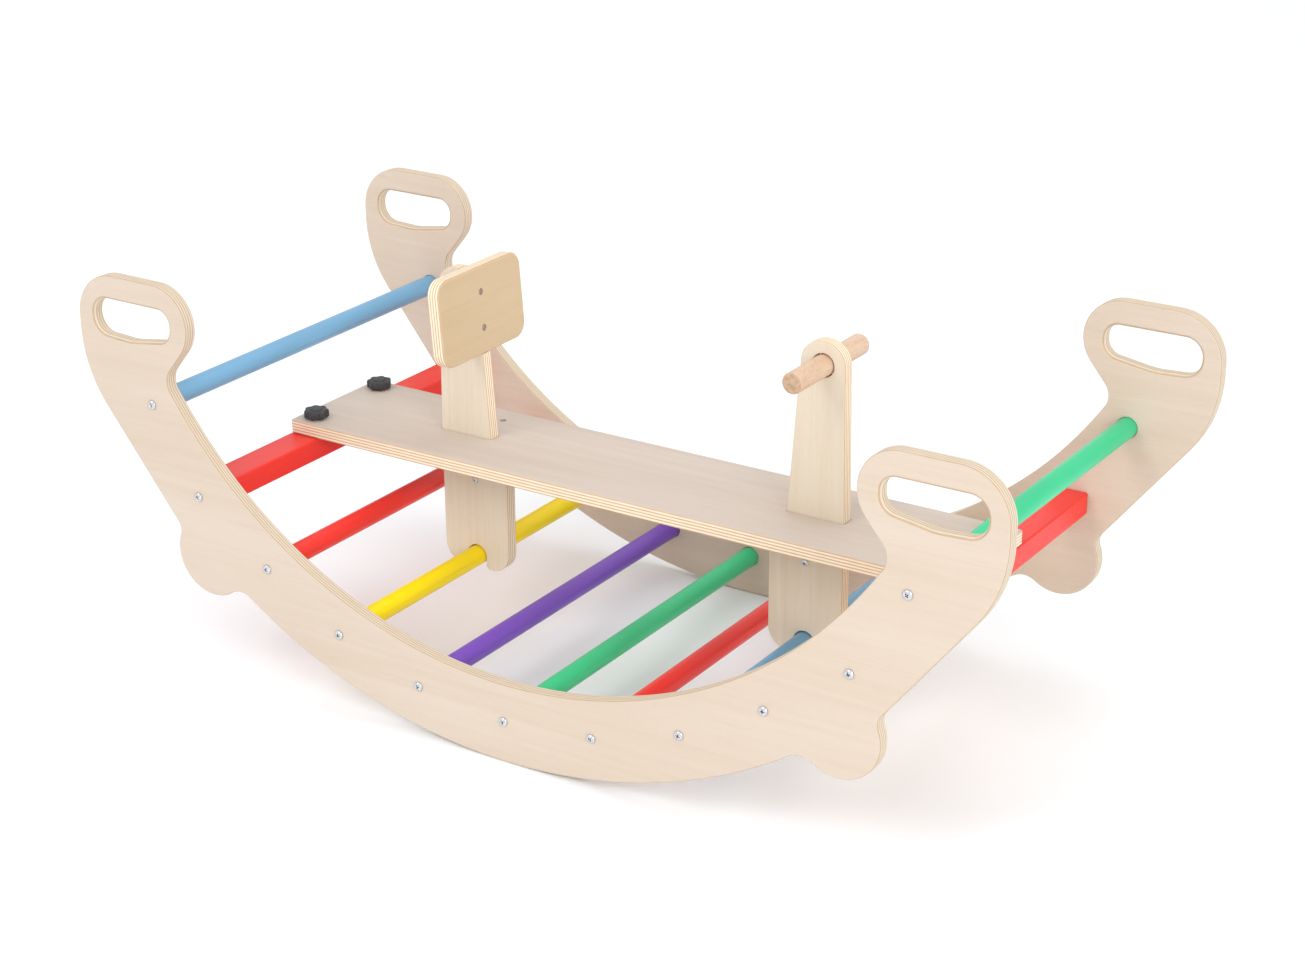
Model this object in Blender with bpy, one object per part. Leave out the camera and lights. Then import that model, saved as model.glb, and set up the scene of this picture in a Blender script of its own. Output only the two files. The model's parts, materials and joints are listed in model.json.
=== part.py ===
"""Children's wooden rocker with a lift-off seat: two plywood side panels joined by round rungs and two flat
bars, and a plank seat with a backrest and a handlebar, held on the bars by four black star knobs.

Frame: origin on the floor under the middle, +X from the backrest to the handlebar, +Z up, panels at -Y, +Y.
"""
import math

import bmesh
import bpy
from mathutils import Matrix, Vector

for old in list(bpy.data.objects):
    bpy.data.objects.remove(old, do_unlink=True)

# ---------------------------------------------------------------- driving dimensions, in metres
GAP = 0.0003                 # between touching pieces
CLEAR = 0.0002               # around screws in their holes

WIDTH = 0.400                # over the outer faces of the side panels
PANEL_T = 0.012              # side panel plywood
PLY_T = 0.012                # plank, posts and backrest plywood
Y_OUT = WIDTH / 2
Y_IN = Y_OUT - PANEL_T

ARC_Z = 0.4735               # height of the common centre of the rocker arc and the inner arc
R_OUT = 0.4735               # rocker arc
R_IN = 0.404                 # inner edge of the band
RUNG_Z, R_RUNG = 0.4575, 0.421       # centre height and radius of the circle the rungs stand on
FLAT = 0.024                 # length of one facet of the rocker arc; one lies flat under the middle
R_CORNER = R_OUT / math.cos(math.asin(FLAT / 2 / R_OUT))

RUNG_R = 0.009
RUNG_STEP = math.radians(11.7)
SOCKET_R = 0.0094            # shallow round socket in the panel for each rung
SOCKET_DEPTH = 0.003
BAR_X, BAR_Z = 0.3138, 0.1630
BAR_W, BAR_H = 0.030, 0.020

# handle head at each end of a panel (x and height of circle centres, then radius)
BUMP = (0.305, 0.110, 0.036)
SIDE = (0.3265, 0.2935, 0.109)
HEAD_OUT = (0.395, 0.3045, 0.0405)
HEAD_IN = (0.3495, 0.3105, 0.0345)
SLANT_FOOT = (0.3465, 0.1425)        # a point on the straight edge above the bump
SLANT = math.radians(51.8)
NECK_TURN = math.radians(-51.0)      # heading of the edge from the head's inner round down to the neck
NECK_R = 0.017
NOTCH_R = 0.018                      # fillet between rocker arc and bump
CROOK_R = 0.012                      # fillet between bump and straight edge
# finger hole: corner x, corner height, corner radius
FINGER_HOLE = ((0.3345, 0.3235, 0.012), (0.3345, 0.2975, 0.013), (0.378, 0.2905, 0.060),
               (0.4180, 0.2925, 0.015), (0.4180, 0.3235, 0.015))

PLANK_L, PLANK_W = 0.657, 0.122
PLANK_Z = BAR_Z + BAR_H / 2 + GAP    # underside of the plank
PLANK_TOP = PLANK_Z + PLY_T

POST_OUT = 0.2015            # outer edge of a post, from the middle
POST_IN = 0.1485             # inner edge above the plank
FOOT_IN = 0.1325             # inner edge below the plank: the shoulder under the plank
FOOT_Z = 0.0595
POST_TOP = 0.3365
TAPER_IN = math.tan(math.radians(4.5))
TAPER_OUT = math.tan(math.radians(1.0))
FOOT_R = 0.019
NOTCH_HALF = 0.010           # half width of the U that straddles a rung
STRADDLED = 2                # the posts straddle the second rung out from the middle

HANDLEBAR_Z = 0.3165
HANDLEBAR_X = 0.1793
HANDLEBAR_R = 0.009
HANDLEBAR_L = 0.112
HANDLEBAR_HOLE = 0.0100

BOARD_W, BOARD_H, BOARD_R = 0.118, 0.077, 0.014
BOARD_Z = 0.3013
BOARD_TILT = math.radians(4.5)

BLOCK_X, BLOCK_Y, BLOCK_Z = 0.030, 0.046, 0.040
POST_SCREW_Z = 0.1433
PLANK_SCREW_Y = 0.038

KNOB_X, KNOB_Y = 0.3120, 0.045
KNOB_R, KNOB_LOBE, KNOB_LOBES, KNOB_H = 0.0104, 0.0010, 7, 0.0088
KNOB_SIDES = 42
STUD_R, STUD_LEN = 0.003, 0.031
STUD_HOLE = 0.0035           # hole for a stud in the plank
STUD_BORE = 0.0031           # threaded bore for a stud in a bar

# ---------------------------------------------------------------- materials
COLOURS = {
    "panel_ply": ((0.80, 0.66, 0.50), 0.55, 0.0),
    "plank_ply": ((0.76, 0.62, 0.47), 0.55, 0.0),
    "board_ply": ((0.73, 0.55, 0.36), 0.5, 0.0),
    "beech": ((0.76, 0.53, 0.36), 0.5, 0.0),
    "sky": ((0.24, 0.51, 0.79), 0.4, 0.0),
    "red": ((0.82, 0.035, 0.03), 0.4, 0.0),
    "yellow": ((0.91, 0.67, 0.01), 0.4, 0.0),
    "purple": ((0.17, 0.075, 0.38), 0.4, 0.0),
    "green": ((0.06, 0.50, 0.21), 0.4, 0.0),
    "mint": ((0.09, 0.68, 0.36), 0.4, 0.0),
    "zinc": ((0.62, 0.65, 0.70), 0.3, 1.0),
    "black_plastic": ((0.035, 0.037, 0.04), 0.45, 0.0),
}


def material(name):
    known = bpy.data.materials.get(name)
    if known:
        return known
    colour, rough, metal = COLOURS[name]
    made = bpy.data.materials.new(name)
    made.use_nodes = True
    shader = made.node_tree.nodes["Principled BSDF"]
    shader.inputs["Base Color"].default_value = (*colour, 1.0)
    shader.inputs["Roughness"].default_value = rough
    shader.inputs["Metallic"].default_value = metal
    return made


# ---------------------------------------------------------------- mesh helpers
def new_object(name, bm, mat):
    bmesh.ops.recalc_face_normals(bm, faces=bm.faces)
    mesh = bpy.data.meshes.new(name)
    bm.to_mesh(mesh)
    bm.free()
    obj = bpy.data.objects.new(name, mesh)
    bpy.context.scene.collection.objects.link(obj)
    if mat:
        mesh.materials.append(material(mat))
    return obj


def add_prism(bm, outline, along, low, high):
    """A straight-sided solid: outline in the plane across `along`, from low to high."""
    def place(p, h):
        if along == "y":
            return (p[0], h, p[1])
        if along == "x":
            return (h, p[0], p[1])
        return (p[0], p[1], h)
    bottom = [bm.verts.new(place(p, low)) for p in outline]
    top = [bm.verts.new(place(p, high)) for p in outline]
    bm.faces.new(bottom)
    bm.faces.new(top)
    count = len(outline)
    for i in range(count):
        j = (i + 1) % count
        bm.faces.new((bottom[i], bottom[j], top[j], top[i]))


def prism(name, outline, along, low, high, mat=None):
    bm = bmesh.new()
    add_prism(bm, outline, along, low, high)
    return new_object(name, bm, mat)


def add_lathe(bm, profile, count, origin, axis, closed=False):
    """Turn (radius, height) points about `axis` through `origin`; a closed profile makes a ring."""
    turn = Vector((0, 0, 1)).rotation_difference(Vector(axis)).to_matrix().to_4x4()
    frame = Matrix.Translation(origin) @ turn
    rows = []
    for radius, height in profile:
        if radius == 0:
            rows.append([bm.verts.new(frame @ Vector((0, 0, height)))])
            continue
        row = []
        for i in range(count):
            angle = 2 * math.pi * (i + 0.5) / count
            spot = Vector((radius * math.cos(angle), radius * math.sin(angle), height))
            row.append(bm.verts.new(frame @ spot))
        rows.append(row)
    pairs = list(zip(rows, rows[1:]))
    if closed:
        pairs.append((rows[-1], rows[0]))
    for a, b in pairs:
        for i in range(count):
            j = (i + 1) % count
            corners = [a[i % len(a)], a[j % len(a)], b[j % len(b)], b[i % len(b)]]
            ring = []
            for corner in corners:
                if corner not in ring:
                    ring.append(corner)
            if len(ring) > 2:
                bm.faces.new(ring)


def lathe(name, profile, count, origin, axis, mat=None, closed=False):
    bm = bmesh.new()
    add_lathe(bm, profile, count, origin, axis, closed)
    return new_object(name, bm, mat)


def arc(centre, radius, start, end, step=math.radians(10)):
    """Points along a circle, both ends included."""
    count = max(2, math.ceil(abs(end - start) / step))
    return [(centre[0] + radius * math.cos(start + (end - start) * i / count),
             centre[1] + radius * math.sin(start + (end - start) * i / count)) for i in range(count + 1)]


def rounded(corners, step=math.radians(12)):
    """A closed polygon whose (x, y, radius) corners are filleted."""
    points = []
    count = len(corners)
    for i, (x, y, radius) in enumerate(corners):
        here = Vector((x, y))
        back = (Vector(corners[i - 1][:2]) - here).normalized()
        on = (Vector(corners[(i + 1) % count][:2]) - here).normalized()
        if radius == 0:
            points.append((x, y))
            continue
        half = back.angle(on) / 2
        centre = here + (back + on).normalized() * (radius / math.sin(half))
        first = here + back * (radius / math.tan(half)) - centre
        last = here + on * (radius / math.tan(half)) - centre
        start = math.atan2(first.y, first.x)
        sweep = (math.atan2(last.y, last.x) - start + math.pi) % (2 * math.pi) - math.pi
        points += arc(centre, radius, start, start + sweep, step)
    return points


def cut(target, cutter):
    """Take the cutter away from the target and remove the cutter."""
    cutter.hide_render = True
    cutter.display_type = "WIRE"
    tool = target.modifiers.new("cut", "BOOLEAN")
    tool.operation = "DIFFERENCE"
    tool.solver = "EXACT"
    tool.object = cutter
    bpy.context.view_layer.update()
    depsgraph = bpy.context.evaluated_depsgraph_get()
    shaped = bpy.data.meshes.new_from_object(target.evaluated_get(depsgraph))
    target.modifiers.clear()
    used = target.data
    target.data = shaped
    bpy.data.meshes.remove(used)
    bpy.data.objects.remove(cutter, do_unlink=True)


def smooth(obj, degrees=35):
    obj.data.set_sharp_from_angle(angle=math.radians(degrees))
    for face in obj.data.polygons:
        face.use_smooth = True


def circles_meet(a, ra, b, rb, side):
    """The crossing of two circles that lies to the given side (+1 left) of the way from a to b."""
    way = Vector(b) - Vector(a)
    length = way.length
    along = (length ** 2 + ra ** 2 - rb ** 2) / (2 * length)
    off = math.sqrt(ra ** 2 - along ** 2)
    way.normalize()
    left = Vector((-way.y, way.x))
    return Vector(a) + way * along + left * (side * off)


def heading(spot, centre):
    return math.atan2(spot[1] - centre[1], spot[0] - centre[0])


def short_arc(centre, radius, first, last, step=math.radians(10)):
    """Points the short way round a circle from one spot on it to another."""
    start = heading(first, centre)
    sweep = (heading(last, centre) - start + math.pi) % (2 * math.pi) - math.pi
    return arc(centre, radius, start, start + sweep, step)


# ---------------------------------------------------------------- side panels
def panel_half():
    """Right half of a panel's outline, from the middle of the rocker arc up and back to the inner arc."""
    middle = Vector((0.0, ARC_Z))
    bump, bump_r = Vector(BUMP[:2]), BUMP[2]
    # fillet circle in the notch between the rocker arc and the bump
    notch = circles_meet(middle, R_OUT + NOTCH_R, bump, bump_r + NOTCH_R, -1)
    on_rocker = heading(notch, middle)
    half_facet = math.asin(FLAT / 2 / R_OUT)
    points = []
    angle = -math.pi / 2 + half_facet
    while angle < on_rocker - half_facet * 0.6:
        points.append((R_CORNER * math.cos(angle), ARC_Z + R_CORNER * math.sin(angle)))
        angle += 2 * half_facet
    points += short_arc(notch, NOTCH_R, middle, bump)
    # fillet circle in the crook between the bump and the straight edge
    along = Vector((math.cos(SLANT), math.sin(SLANT)))
    out = Vector((along.y, -along.x))
    base = Vector(SLANT_FOOT) + out * CROOK_R - bump
    reach = bump_r + CROOK_R
    slide = -base.dot(along) + math.sqrt(base.dot(along) ** 2 - base.length_squared + reach ** 2)
    crook = bump + base + along * slide
    points += arc(bump, bump_r, heading(notch, bump), heading(crook, bump))[1:]
    points += short_arc(crook, CROOK_R, bump, crook - out)[1:]
    # straight edge, then the long round up to the head
    points += arc(SIDE[:2], SIDE[2], SLANT - math.pi / 2, 0.0, math.radians(7))
    points += arc(HEAD_OUT[:2], HEAD_OUT[2], 0.0, math.pi / 2)
    points += arc(HEAD_IN[:2], HEAD_IN[2], math.pi / 2, math.pi * 3 / 2 + NECK_TURN)
    # neck: from the head's tangent line round onto the inner arc
    leave = Vector(points[-1])
    down = Vector((math.cos(NECK_TURN), math.sin(NECK_TURN)))
    to_middle = leave - middle
    slope = to_middle.dot(down)
    far = -slope + math.sqrt(slope ** 2 - to_middle.length_squared + R_IN ** 2)
    corner = leave + down * far
    neck_angle = heading(corner, middle)
    tangent = Vector((math.sin(neck_angle), -math.cos(neck_angle)))
    half = (-down).angle(tangent) / 2
    trim = NECK_R / math.tan(half)
    centre = corner + (tangent - down).normalized() * (NECK_R / math.sin(half))
    first = corner - down * trim
    last = corner + tangent * trim
    points += short_arc(centre, NECK_R, first, last)
    # inner arc back to the middle
    begin = heading(last, middle)
    points += arc(middle, R_IN, begin, -math.pi / 2, math.radians(3))[1:-1]
    return points


def panel_outline():
    half = panel_half()
    mirrored = [(-x, z) for x, z in reversed(half)]
    return half + [(0.0, ARC_Z - R_IN)] + mirrored


def rung_spot(index):
    """Centre of the rung `index` steps from the middle, negative towards the backrest."""
    angle = RUNG_STEP * index
    return (R_RUNG * math.sin(angle), RUNG_Z - R_RUNG * math.cos(angle))


SCREW_R = 0.002
SCREW_HOLE = SCREW_R + CLEAR
PILOT_DEPTH = 0.020

# rungs by their steps from the middle; the flat bars stand at step 4
RUNGS = {-5: "sky", -3: "red", -2: "yellow", -1: "purple", 0: "green",
         1: "red", 2: "sky", 3: "yellow", 5: "mint"}
BARS = {"bar_rear": -1, "bar_front": 1}


def make_panel(name, side):
    panel = prism(name, panel_outline(), "y", min(side * Y_IN, side * Y_OUT), max(side * Y_IN, side * Y_OUT),
                  "panel_ply")
    holes = bmesh.new()
    for end in (-1, 1):
        finger = [(end * x, z) for x, z in rounded(FINGER_HOLE)]
        add_prism(holes, finger, "y", side * Y_OUT - 0.03, side * Y_OUT + 0.03)
    axis = (0, side, 0)
    for index in RUNGS:
        x, z = rung_spot(index)
        step = SOCKET_DEPTH
        profile = [(0, -0.005), (SOCKET_R, -0.005), (SOCKET_R, step), (SCREW_HOLE, step),
                   (SCREW_HOLE, PANEL_T + 0.005), (0, PANEL_T + 0.005)]
        add_lathe(holes, profile, 20, (x, side * Y_IN, z), axis)
    for end in BARS.values():
        profile = [(0, -0.005), (SCREW_HOLE, -0.005), (SCREW_HOLE, PANEL_T + 0.005), (0, PANEL_T + 0.005)]
        add_lathe(holes, profile, 12, (end * BAR_X, side * Y_IN, BAR_Z), axis)
    cut(panel, new_object("holes", holes, None))
    smooth(panel)
    return panel


make_panel("side_panel_left", 1)
make_panel("side_panel_right", -1)


# ---------------------------------------------------------------- rungs and bars
def make_rung(name, index, colour):
    x, z = rung_spot(index)
    end = Y_IN + SOCKET_DEPTH - GAP
    soft = 0.0008
    half = [(0, end - PILOT_DEPTH), (SCREW_HOLE, end - PILOT_DEPTH), (SCREW_HOLE, end), (RUNG_R - soft, end),
            (RUNG_R, end - soft)]
    profile = [(r, -h) for r, h in half] + [(r, h) for r, h in reversed(half)]
    rung = lathe(name, profile, 20, (x, 0, z), (0, 1, 0), colour)
    smooth(rung)


for index, colour in RUNGS.items():
    make_rung("rung_%02d_%s" % (index + 6, colour), index, colour)


def box(name, low, high, mat=None):
    outline = [(low[0], low[1]), (high[0], low[1]), (high[0], high[1]), (low[0], high[1])]
    return prism(name, outline, "z", low[2], high[2], mat)


for name, end in BARS.items():
    soft = 0.0015
    near_x, far_x = end * BAR_X - BAR_W / 2, end * BAR_X + BAR_W / 2
    low_z, high_z = BAR_Z - BAR_H / 2, BAR_Z + BAR_H / 2
    corners = [(near_x, low_z, soft), (far_x, low_z, soft), (far_x, high_z, soft), (near_x, high_z, soft)]
    bar = prism(name, rounded(corners, math.radians(45)), "y", -Y_IN + GAP, Y_IN - GAP, "red")
    holes = bmesh.new()
    for side in (-1, 1):
        pilot = [(0, -0.005), (SCREW_HOLE, -0.005), (SCREW_HOLE, PILOT_DEPTH), (0, PILOT_DEPTH)]
        add_lathe(holes, pilot, 12, (end * BAR_X, side * (Y_IN - GAP), BAR_Z), (0, -side, 0))
        through = [(0, -0.02), (STUD_BORE, -0.02), (STUD_BORE, 0.02), (0, 0.02)]
        add_lathe(holes, through, 16, (end * KNOB_X, side * KNOB_Y, BAR_Z), (0, 0, 1))
    cut(bar, new_object("holes", holes, None))
    smooth(bar)


# ---------------------------------------------------------------- screws
def cross(arm, slot):
    """Plus-shaped outline of a cross recess."""
    a, s = arm, slot
    return [(a, -s), (a, s), (s, s), (s, a), (-s, a), (-s, s),
            (-a, s), (-a, -s), (-s, -s), (-s, -a), (s, -a), (s, -s)]


def make_screw(kind, head_r, head_h, shank_r, length):
    """A screw along +Z with its head's seat at 0: `pan` heads stand up, `flat` heads are countersunk."""
    if kind == "pan":
        profile = [(0, head_h), (head_r * 0.55, head_h * 0.93), (head_r * 0.88, head_h * 0.62),
                   (head_r, head_h * 0.25), (head_r, 0), (shank_r, 0)]
        top = head_h
    else:
        profile = [(0, 0), (head_r, 0), (head_r, -0.0003), (shank_r, -head_h)]
        top = 0.0
    profile += [(shank_r, -length + 0.004), (0, -length)]
    screw = lathe("screw", profile, 14, (0, 0, 0), (0, 0, 1), "zinc")
    arm = head_r * 0.55
    recess = prism("recess", cross(arm, arm * 0.22), "z", top - head_r * 0.45, top + 0.002)
    cut(screw, recess)
    return screw


def place_screws(screw, spots):
    """Stand a copy of the screw at each (name, position, outward direction), then drop the original."""
    smooth(screw)
    for name, spot, way in spots:
        copy = bpy.data.objects.new(name, screw.data)
        bpy.context.scene.collection.objects.link(copy)
        copy.rotation_mode = "QUATERNION"
        copy.rotation_quaternion = Vector((0, 0, 1)).rotation_difference(Vector(way))
        copy.location = spot
    bpy.data.objects.remove(screw, do_unlink=True)


spots_xz = {index + 6: rung_spot(index) for index in RUNGS}
spots_xz.update({6 + 4 * end: (end * BAR_X, BAR_Z) for end in BARS.values()})
frame_spots = []
for hand, side in (("left", 1), ("right", -1)):
    for place, (x, z) in sorted(spots_xz.items()):
        name = "frame_screw_%s_%02d" % (hand, place)
        frame_spots.append((name, (x, side * (Y_OUT + GAP), z), (0, side, 0)))
place_screws(make_screw("pan", 0.0041, 0.0024, SCREW_R, 0.028), frame_spots)


# ---------------------------------------------------------------- posts
def post_outline(top_out_r, top_in_r, top_out, top_in):
    """Post towards +X, in x and height: notched foot, shoulder under the plank, tapered upper part."""
    x, z = rung_spot(STRADDLED)
    notch = arc((x, z), NOTCH_HALF, math.pi, 0.0, math.radians(18))
    foot_left = rounded([(FOOT_IN, PLANK_Z - GAP, 0), (FOOT_IN, FOOT_Z, FOOT_R),
                         (x - NOTCH_HALF, FOOT_Z, 0.004), (x - NOTCH_HALF, PLANK_Z - GAP, 0)])[:-1]
    foot_right = rounded([(x + NOTCH_HALF, PLANK_Z - GAP, 0), (x + NOTCH_HALF, FOOT_Z, 0.004),
                          (POST_OUT, FOOT_Z, FOOT_R), (POST_OUT, PLANK_Z - GAP, 0)])[1:-1]
    upper = rounded([(POST_IN, PLANK_Z - GAP, 0), (POST_OUT, PLANK_Z - GAP, 0),
                     (POST_OUT, PLANK_TOP, 0), (top_out, POST_TOP, top_out_r),
                     (top_in, POST_TOP, top_in_r), (POST_IN, PLANK_TOP, 0)])[2:]
    return foot_left + notch + foot_right + upper + [(POST_IN, PLANK_Z - GAP)]


rise = POST_TOP - PLANK_TOP
handle_top_out = POST_OUT - rise * TAPER_OUT
handle_top_in = POST_IN + rise * TAPER_IN
handle_post = prism("handle_post", post_outline(0.0192, 0.0192, handle_top_out, handle_top_in), "y",
                    -PLY_T / 2, PLY_T / 2, "plank_ply")
holes = bmesh.new()
bore = [(0, -0.02), (HANDLEBAR_HOLE, -0.02), (HANDLEBAR_HOLE, 0.02), (0, 0.02)]
add_lathe(holes, bore, 28, (HANDLEBAR_X, 0, HANDLEBAR_Z), (0, 1, 0))
post_screw_hole = [(0, -0.02), (SCREW_R + CLEAR, -0.02), (SCREW_R + CLEAR, 0.02), (0, 0.02)]
post_screw_x = (POST_OUT + FOOT_IN) / 2
add_lathe(holes, post_screw_hole, 12, (post_screw_x, 0, POST_SCREW_Z), (0, 1, 0))
cut(handle_post, new_object("holes", holes, None))
lock_hole = lathe("holes", [(0, 0.004), (0.0017, 0.004), (0.0017, 0.05), (0, 0.05)], 12,
                  (HANDLEBAR_X, 0, HANDLEBAR_Z), (1, 0, 0))
cut(handle_post, lock_hole)
smooth(handle_post)

back_outline = [(-x, z) for x, z in post_outline(0.017, 0.002, handle_top_out, handle_top_in)]
back_post = prism("back_post", back_outline, "y", -PLY_T / 2, PLY_T / 2, "plank_ply")
cut(back_post, lathe("holes", post_screw_hole, 12, (-post_screw_x, 0, POST_SCREW_Z), (0, 1, 0)))

# backrest board, let into the front edge of its post and flush with it
front_x = -(POST_IN + (BOARD_Z - PLANK_TOP) * TAPER_IN)
lean = Matrix.Translation((front_x, 0, BOARD_Z)) @ Matrix.Rotation(-BOARD_TILT, 4, "Y")


def board_piece(name, outline, back, front, mat=None):
    """A slab in the backrest's own leaning frame: outline in y and height, from back to front."""
    piece = prism(name, outline, "x", back, front, mat)
    piece.data.transform(lean)
    return piece


seat_gap = BOARD_H / 2 + GAP
rebate = [(-0.05, -seat_gap), (0.05, -seat_gap), (0.05, 0.1), (-0.05, 0.1)]
cut(back_post, board_piece("rebate", rebate, -PLY_T - GAP, 0.05))
half_w, half_h = BOARD_W / 2, BOARD_H / 2
board_outline = rounded([(-half_w, -half_h, BOARD_R), (half_w, -half_h, BOARD_R), (half_w, half_h, BOARD_R),
                         (-half_w, half_h, BOARD_R)])
back_board = board_piece("back_board", board_outline, -PLY_T, 0.0, "board_ply")

BOARD_SCREWS = (-0.016, 0.016)
BOARD_SCREW_R, BOARD_SCREW_HEAD = 0.0015, 0.0029
way = (lean.to_3x3() @ Vector((1, 0, 0))).normalized()
shafts = bmesh.new()
seats = bmesh.new()
for height in BOARD_SCREWS:
    spot = lean @ Vector((0, 0, height))
    shaft = [(0, -0.034), (BOARD_SCREW_R + CLEAR, -0.034), (BOARD_SCREW_R + CLEAR, 0.01), (0, 0.01)]
    add_lathe(shafts, shaft, 12, spot, way)
    head = BOARD_SCREW_HEAD + CLEAR
    seat = [(0, -0.034), (BOARD_SCREW_R + CLEAR, -0.034), (BOARD_SCREW_R + CLEAR, -0.0018), (head, -0.0004),
            (head, 0.01), (0, 0.01)]
    add_lathe(seats, seat, 16, spot, way)
cut(back_post, new_object("shafts", shafts, None))
cut(back_board, new_object("seats", seats, None))
smooth(back_post)
smooth(back_board)

place_screws(make_screw("flat", BOARD_SCREW_HEAD, 0.0016, BOARD_SCREW_R, 0.032),
             [("board_screw_%s" % place, lean @ Vector((-0.0001, 0, height)), way)
              for place, height in zip(("lower", "upper"), BOARD_SCREWS)])

# ---------------------------------------------------------------- handlebar
soft = 0.002
half_l = HANDLEBAR_L / 2
profile = [(0, -half_l), (HANDLEBAR_R - soft, -half_l), (HANDLEBAR_R - 0.0006, -half_l + 0.0006),
           (HANDLEBAR_R, -half_l + soft), (HANDLEBAR_R, half_l - soft),
           (HANDLEBAR_R - 0.0006, half_l - 0.0006), (HANDLEBAR_R - soft, half_l), (0, half_l)]
handlebar = lathe("handlebar", profile, 24, (HANDLEBAR_X, 0, HANDLEBAR_Z), (0, 1, 0), "beech")
cut(handlebar, lathe("hole", [(0, 0.003), (0.0017, 0.003), (0.0017, 0.02), (0, 0.02)], 12,
                     (HANDLEBAR_X, 0, HANDLEBAR_Z), (1, 0, 0)))
smooth(handlebar)

post_edge = POST_OUT - (HANDLEBAR_Z - PLANK_TOP) * TAPER_OUT
place_screws(make_screw("flat", 0.0015, 0.0016, 0.0012, 0.0150),
             [("handlebar_lock_screw", (post_edge - GAP, 0, HANDLEBAR_Z), (1, 0, 0))])

# ---------------------------------------------------------------- plank, blocks and their screws
plank = box("seat_plank", (-PLANK_L / 2, -PLANK_W / 2, PLANK_Z), (PLANK_L / 2, PLANK_W / 2, PLANK_TOP),
            "plank_ply")
holes = bmesh.new()
for end in (-1, 1):
    low, high = sorted((end * (POST_IN - GAP), end * (POST_OUT + GAP)))
    half = PLY_T / 2 + GAP
    slot = [(low, -half), (high, -half), (high, half), (low, half)]
    add_prism(holes, slot, "z", PLANK_Z - 0.01, PLANK_TOP + 0.01)
    for side in (-1, 1):
        stud_hole = [(0, -0.01), (STUD_HOLE, -0.01), (STUD_HOLE, PLY_T + 0.01), (0, PLY_T + 0.01)]
        add_lathe(holes, stud_hole, 16, (end * KNOB_X, side * KNOB_Y, PLANK_Z), (0, 0, 1))
    head = BOARD_SCREW_HEAD + CLEAR
    seat = [(0, -0.02), (BOARD_SCREW_R + CLEAR, -0.02), (BOARD_SCREW_R + CLEAR, -0.0018), (head, -0.0004),
            (head, 0.01), (0, 0.01)]
    add_lathe(holes, seat, 16, (end * post_screw_x, PLANK_SCREW_Y, PLANK_TOP), (0, 0, 1))
cut(plank, new_object("holes", holes, None))
smooth(plank)

block_y = PLY_T / 2 + GAP
for name, end in (("block_rear", -1), ("block_front", 1)):
    middle = end * post_screw_x
    block = box(name, (middle - BLOCK_X / 2, block_y, PLANK_Z - GAP - BLOCK_Z),
                (middle + BLOCK_X / 2, block_y + BLOCK_Y, PLANK_Z - GAP), "beech")
    holes = bmesh.new()
    down = [(0, -0.016), (BOARD_SCREW_R + CLEAR, -0.016), (BOARD_SCREW_R + CLEAR, 0.01), (0, 0.01)]
    add_lathe(holes, down, 12, (middle, PLANK_SCREW_Y, PLANK_Z), (0, 0, 1))
    inward = [(0, -0.01), (SCREW_R + CLEAR, -0.01), (SCREW_R + CLEAR, 0.018), (0, 0.018)]
    add_lathe(holes, inward, 12, (middle, block_y, POST_SCREW_Z), (0, 1, 0))
    cut(block, new_object("holes", holes, None))
    smooth(block)

ENDS = (("rear", -1), ("front", 1))
place_screws(make_screw("flat", BOARD_SCREW_HEAD, 0.0016, BOARD_SCREW_R, 0.0265),
             [("plank_screw_%s" % place, (end * post_screw_x, PLANK_SCREW_Y, PLANK_TOP - 0.0001), (0, 0, 1))
              for place, end in ENDS])
place_screws(make_screw("pan", 0.0032, 0.0016, SCREW_R, 0.028),
             [("post_screw_%s" % place, (end * post_screw_x, -PLY_T / 2 - GAP, POST_SCREW_Z), (0, -1, 0))
              for place, end in ENDS])

# ---------------------------------------------------------------- knobs and studs


def ring_points(radius, lobe=0.0):
    """Points round a circle, waved in and out by `lobe` once for each lobe of the knob."""
    points = []
    for i in range(KNOB_SIDES):
        angle = 2 * math.pi * i / KNOB_SIDES
        reach = radius + lobe * math.cos(KNOB_LOBES * angle)
        points.append((reach * math.cos(angle), reach * math.sin(angle)))
    return points


def knob_mesh():
    """Star knob standing on 0: round foot, lobed grip with a softened rim, round raised cap."""
    profile = [(0.0075, 0.0, 0.0), (0.0075, 0.0012, 0.0), (KNOB_R - 0.0008, 0.0012, KNOB_LOBE),
               (KNOB_R, 0.0020, KNOB_LOBE), (KNOB_R, 0.0070, KNOB_LOBE), (KNOB_R - 0.0010, 0.0080, KNOB_LOBE),
               (0.0062, 0.0082, 0.0), (0.0058, 0.0085, 0.0), (0.0040, KNOB_H, 0.0)]
    bm = bmesh.new()
    rings = [[bm.verts.new((x, y, height)) for x, y in ring_points(radius, lobe)]
             for radius, height, lobe in profile]
    for low, high in zip(rings, rings[1:]):
        for i in range(KNOB_SIDES):
            j = (i + 1) % KNOB_SIDES
            bm.faces.new((low[i], low[j], high[j], high[i]))
    bm.faces.new(rings[0])
    bm.faces.new(rings[-1])
    return bm


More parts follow.
